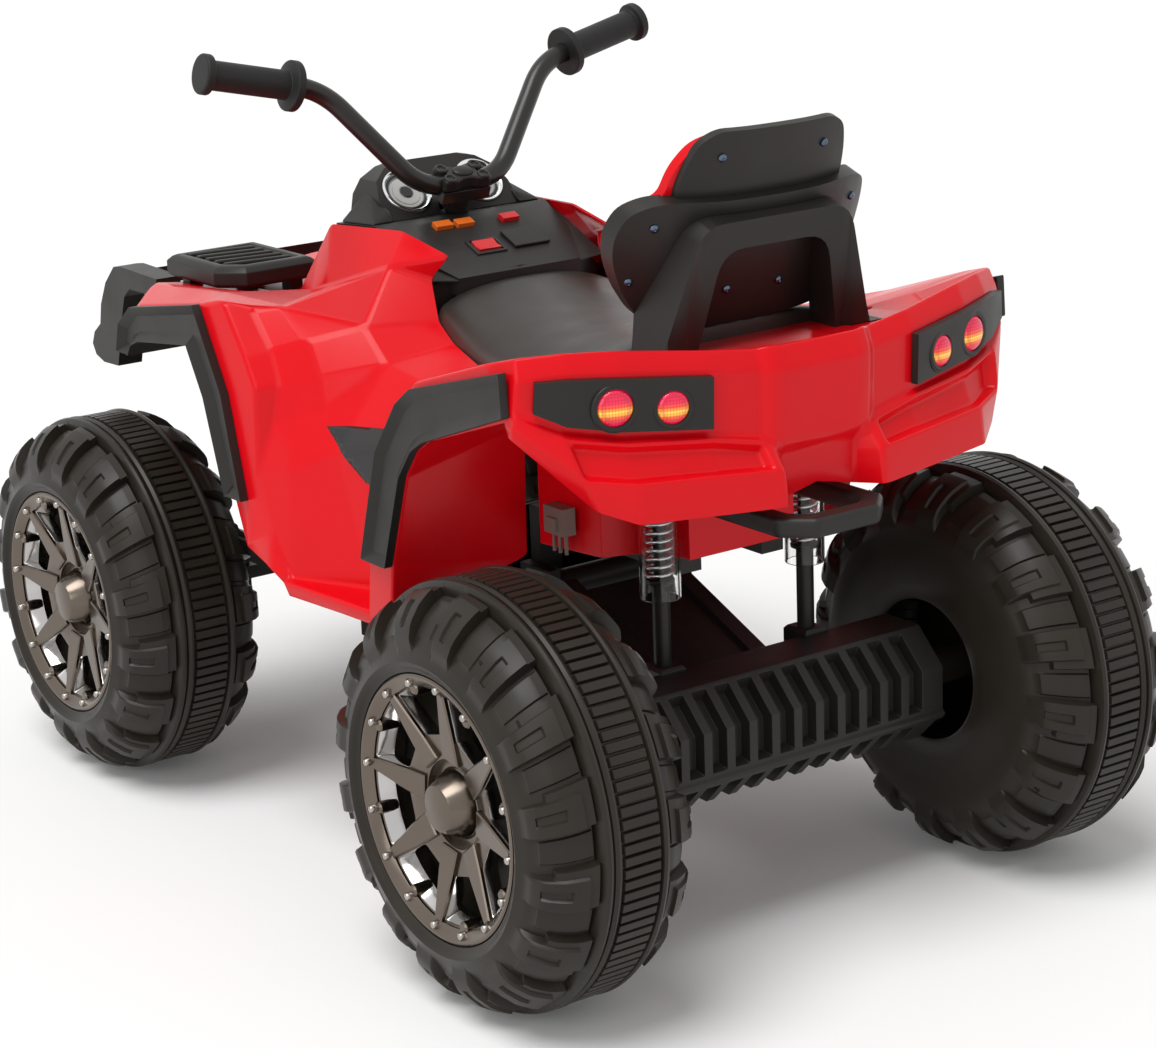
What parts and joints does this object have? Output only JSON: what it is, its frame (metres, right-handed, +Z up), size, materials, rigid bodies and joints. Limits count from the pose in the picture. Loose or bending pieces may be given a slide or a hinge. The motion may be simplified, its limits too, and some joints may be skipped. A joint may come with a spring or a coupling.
{
  "type": "kids quad bike",
  "caption": "Battery ride-on quad for a young child with fat lugged wheels, steered front axle, sprung rear axle, saddle seat and backrest.",
  "frame": {"origin": "on the ground, under the middle of the wheels' outline", "axes": "+X forward, +Y to the rider's left, +Z up"},
  "size_m": [0.99, 0.62, 0.6753],
  "materials": {
    "red_plastic": "glossy moulded red",
    "black_plastic": "fine grained satin black",
    "seat_plastic": "grained satin black",
    "tyre_plastic": "satin blow-moulded black",
    "gunmetal_plastic": "metallic gunmetal",
    "black_steel": "satin black paint",
    "bright_steel": "zinc plated",
    "clear_plastic": "clear tube",
    "grip_rubber": "soft satin black",
    "lens_red": "red lens with an amber glow",
    "lamp_pale": "clear pale",
    "gauge_chrome": "bright plated rings",
    "button_orange": "orange",
    "button_red": "red",
    "plug_white": "ivory",
    "gear_plastic": "black",
    "motor_steel": "grey zinc can",
    "battery_grey": "dark grey"
  },
  "bodies": {
    "chassis": {"chassis_frame": "black_plastic", "front_axle_beam": "black_steel", "control_box": "black_plastic", "pivot_pin": "bright_steel", "hood": "red_plastic", "front_panel_left": "red_plastic", "front_panel_right": "red_plastic", "front_trim_left": "black_plastic", "front_trim_right": "black_plastic", "front_racks": "black_plastic", "front_bumper": "black_plastic", "headlights": "lamp_pale", "rear_body": "red_plastic", "rear_trim_left": "black_plastic", "rear_trim_right": "black_plastic", "tail_lamp_bezel_left": "black_plastic", "tail_lamp_bezel_right": "black_plastic", "tail_lamp_lenses": "lens_red", "seat": "seat_plastic", "seat_tub": "red_plastic", "battery": "battery_grey", "rear_handle": "black_plastic", "motor_plug": "plug_white", "backrest_shell": "black_plastic", "backrest_front": "red_plastic", "backrest_frame": "black_plastic", "backrest_screws": "bright_steel", "spring_tubes": "clear_plastic", "dashboard": "black_plastic", "media_panel": "black_plastic", "instrument_pod": "black_plastic", "gauges": "gauge_chrome"},
    "steering": {"steering_column": "black_steel", "clamp_cap": "black_plastic", "handlebar": "black_steel", "grip_left": "grip_rubber", "grip_right": "grip_rubber"},
    "tie_rod": {"tie_rod": "black_steel"},
    "knuckle_left": {"knuckle_left": "black_plastic"},
    "knuckle_right": {"knuckle_right": "black_plastic"},
    "wheel_front_left": {"tyre_front_left": "tyre_plastic", "rim_front_left": "gunmetal_plastic"},
    "wheel_front_right": {"tyre_front_right": "tyre_plastic", "rim_front_right": "gunmetal_plastic"},
    "wheel_rear_left": {"tyre_rear_left": "tyre_plastic", "rim_rear_left": "gunmetal_plastic"},
    "wheel_rear_right": {"tyre_rear_right": "tyre_plastic", "rim_rear_right": "gunmetal_plastic"},
    "rear_axle": {"swing_arm": "black_plastic", "axle_housing_upper": "black_plastic", "axle_housing_lower": "black_plastic", "rear_axle_shaft": "bright_steel", "gearboxes": "gear_plastic", "motors": "motor_steel", "springs": "bright_steel"},
    "rocker": {"rocker_switch": "button_red"},
    "power": {"power_button": "button_red"},
    "horn": {"horn_button": "button_orange"},
    "music": {"music_button": "button_orange"},
    "pedal": {"accelerator_pedal": "black_plastic"}
  },
  "joints": [
    {"name": "steering_turn", "type": "hinge", "parent": "chassis", "child": "steering", "pos_m": [0.065, 0, 0.545], "axis": [-0.4226, 0, 0.9063], "range_deg": [-20, 20]},
    {"name": "knuckle_left_turn", "type": "hinge", "parent": "chassis", "child": "knuckle_left", "pos_m": [0.33, 0.12, 0.165], "axis": [0, 0, 1], "range_deg": [-20, 20]},
    {"name": "knuckle_right_turn", "type": "hinge", "parent": "chassis", "child": "knuckle_right", "pos_m": [0.33, -0.12, 0.165], "axis": [0, 0, 1], "range_deg": [-20, 20]},
    {"name": "tie_rod_turn", "type": "hinge", "parent": "knuckle_left", "child": "tie_rod", "pos_m": [0.28, 0.12, 0.2], "axis": [0, 0, 1], "range_deg": [-20, 20]},
    {"name": "front_left_spin", "type": "hinge", "parent": "knuckle_left", "child": "wheel_front_left", "pos_m": [0.33, 0.222, 0.165], "axis": [0, 1, 0], "continuous": true},
    {"name": "front_right_spin", "type": "hinge", "parent": "knuckle_right", "child": "wheel_front_right", "pos_m": [0.33, -0.222, 0.165], "axis": [0, 1, 0], "continuous": true},
    {"name": "rear_suspension", "type": "hinge", "parent": "chassis", "child": "rear_axle", "pos_m": [-0.135, 0, 0.24], "axis": [0, 1, 0], "range_deg": [0, 2.5], "stiffness_Nm_per_rad": 400, "springref_deg": -3.44, "deforming": ["springs"]},
    {"name": "rear_left_spin", "type": "hinge", "parent": "rear_axle", "child": "wheel_rear_left", "pos_m": [-0.33, 0.24, 0.165], "axis": [0, 1, 0], "continuous": true},
    {"name": "rear_right_spin", "type": "hinge", "parent": "rear_axle", "child": "wheel_rear_right", "pos_m": [-0.33, -0.24, 0.165], "axis": [0, 1, 0], "continuous": true},
    {"name": "rocker_tilt", "type": "hinge", "parent": "chassis", "child": "rocker", "pos_m": [0.01477, 0.01, 0.49504], "axis": [0, 1, 0], "range_deg": [-7, 7]},
    {"name": "power_press", "type": "slide", "parent": "chassis", "child": "power", "axis": [0.3875, 0, -0.9219], "range_m": [0, 0.002], "stiffness_N_per_m": 600, "springref_m": -0.002},
    {"name": "horn_press", "type": "slide", "parent": "chassis", "child": "horn", "axis": [0.3875, 0, -0.9219], "range_m": [0, 0.002], "stiffness_N_per_m": 600, "springref_m": -0.002},
    {"name": "music_press", "type": "slide", "parent": "chassis", "child": "music", "axis": [0.3875, 0, -0.9219], "range_m": [0, 0.002], "stiffness_N_per_m": 600, "springref_m": -0.002},
    {"name": "pedal_press", "type": "hinge", "parent": "chassis", "child": "pedal", "pos_m": [-0.104, -0.204, 0.253], "axis": [0, 1, 0], "range_deg": [0, 10], "stiffness_Nm_per_rad": 1.5, "springref_deg": -11.46}
  ],
  "couplings": [
    {"joint": "knuckle_left_turn", "follows": "steering_turn", "ratio": 1},
    {"joint": "knuckle_right_turn", "follows": "steering_turn", "ratio": 1},
    {"joint": "tie_rod_turn", "follows": "steering_turn", "ratio": -1}
  ]
}
